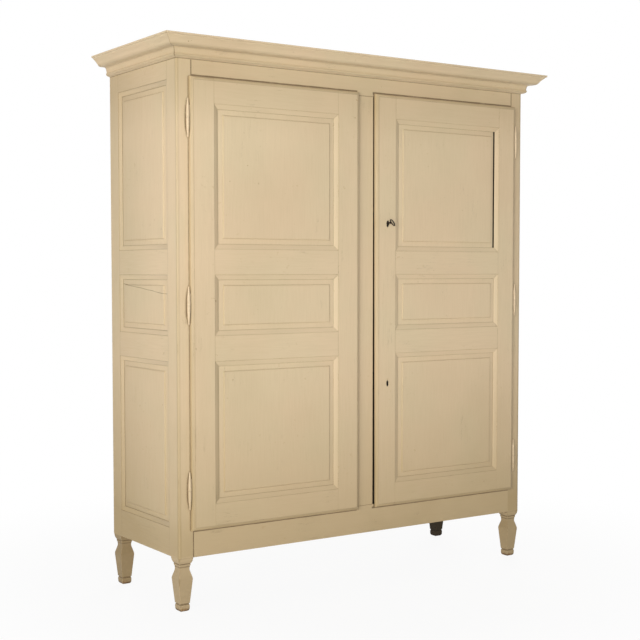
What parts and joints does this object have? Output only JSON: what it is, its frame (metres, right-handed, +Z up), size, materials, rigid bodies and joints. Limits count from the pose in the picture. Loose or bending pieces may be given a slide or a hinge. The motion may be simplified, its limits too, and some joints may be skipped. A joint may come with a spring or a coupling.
{
  "type": "wardrobe",
  "caption": "Painted country wardrobe with lipped panelled doors, mitred cornice and shaped square feet; doors, key and bolts move.",
  "frame": {"origin": "on the floor under the middle of the whole piece, cornice overhang included", "axes": "+Z up, -Y out of the doors, +X to the right of someone facing the doors"},
  "size_m": [1.756, 0.604, 2],
  "materials": {
    "aged_paint": "cream paint, aged and rubbed, with brush marks, fine cracks and chips",
    "bare_wood": "old softwood, unpainted, dry",
    "painted_iron": "the same cream paint over iron, chipped",
    "dark_iron": "dark wrought iron with brown rust"
  },
  "bodies": {
    "root": {"left_side_frame": "aged_paint", "left_side_upper_panel": "aged_paint", "left_side_middle_panel": "aged_paint", "left_side_lower_panel": "aged_paint", "right_side_frame": "aged_paint", "right_side_upper_panel": "aged_paint", "right_side_middle_panel": "aged_paint", "right_side_lower_panel": "aged_paint", "front_top_rail": "aged_paint", "front_bottom_rail": "aged_paint", "centre_post": "aged_paint", "rear_top_rail": "aged_paint", "rear_bottom_rail": "aged_paint", "cornice_front": "aged_paint", "cornice_left": "aged_paint", "cornice_right": "aged_paint", "back_panel": "bare_wood", "floor_panel": "bare_wood", "top_panel": "bare_wood", "hat_shelf": "bare_wood", "left_shelf_bearer": "bare_wood", "right_shelf_bearer": "bare_wood", "hanging_rail": "bare_wood", "left_lower_hinge_frame_half": "painted_iron", "left_middle_hinge_frame_half": "painted_iron", "left_upper_hinge_frame_half": "painted_iron", "right_lower_hinge_frame_half": "painted_iron", "right_middle_hinge_frame_half": "painted_iron", "right_upper_hinge_frame_half": "painted_iron"},
    "left_door": {"left_door_hinge_stile": "aged_paint", "left_door_meeting_stile": "aged_paint", "left_door_top_rail": "aged_paint", "left_door_upper_middle_rail": "aged_paint", "left_door_lower_middle_rail": "aged_paint", "left_door_bottom_rail": "aged_paint", "left_door_upper_panel": "aged_paint", "left_door_middle_panel": "aged_paint", "left_door_lower_panel": "aged_paint", "left_door_bolt_guide": "dark_iron", "left_lower_hinge_door_half": "painted_iron", "left_middle_hinge_door_half": "painted_iron", "left_upper_hinge_door_half": "painted_iron"},
    "right_door": {"right_door_hinge_stile": "aged_paint", "right_door_meeting_stile": "aged_paint", "right_door_top_rail": "aged_paint", "right_door_upper_middle_rail": "aged_paint", "right_door_lower_middle_rail": "aged_paint", "right_door_bottom_rail": "aged_paint", "right_door_upper_panel": "aged_paint", "right_door_middle_panel": "aged_paint", "right_door_lower_panel": "aged_paint", "upper_lock_case": "dark_iron", "lower_lock_case": "dark_iron", "right_lower_hinge_door_half": "painted_iron", "right_middle_hinge_door_half": "painted_iron", "right_upper_hinge_door_half": "painted_iron"},
    "key": {"key": "dark_iron"},
    "upper_lock_bolt": {"upper_lock_bolt": "dark_iron"},
    "lower_lock_bolt": {"lower_lock_bolt": "dark_iron"},
    "left_door_bolt": {"left_door_bolt": "dark_iron"}
  },
  "joints": [
    {"name": "left_door_hinge", "type": "hinge", "parent": "root", "child": "left_door", "pos_m": [-0.7641, -0.2375, 1.078], "axis": [0, 0, -1], "range_deg": [0, 165]},
    {"name": "right_door_hinge", "type": "hinge", "parent": "root", "child": "right_door", "pos_m": [0.7641, -0.2375, 1.078], "axis": [0, 0, 1], "range_deg": [0, 165]},
    {"name": "key_turn", "type": "hinge", "parent": "right_door", "child": "key", "pos_m": [0.096, -0.246, 1.382], "axis": [0, -1, 0], "range_deg": [-37, 143]},
    {"name": "upper_lock_bolt_slide", "type": "slide", "parent": "right_door", "child": "upper_lock_bolt", "axis": [-1, 0, 0], "range_m": [-0.0037, 0.0143]},
    {"name": "lower_lock_bolt_slide", "type": "slide", "parent": "right_door", "child": "lower_lock_bolt", "axis": [-1, 0, 0], "range_m": [0, 0.018]},
    {"name": "left_door_bolt_slide", "type": "slide", "parent": "left_door", "child": "left_door_bolt", "axis": [0, 0, 1], "range_m": [0, 0.014]}
  ],
  "couplings": [
    {"joint": "key_turn", "follows": "upper_lock_bolt_slide", "rad_per_m": 174.53}
  ]
}
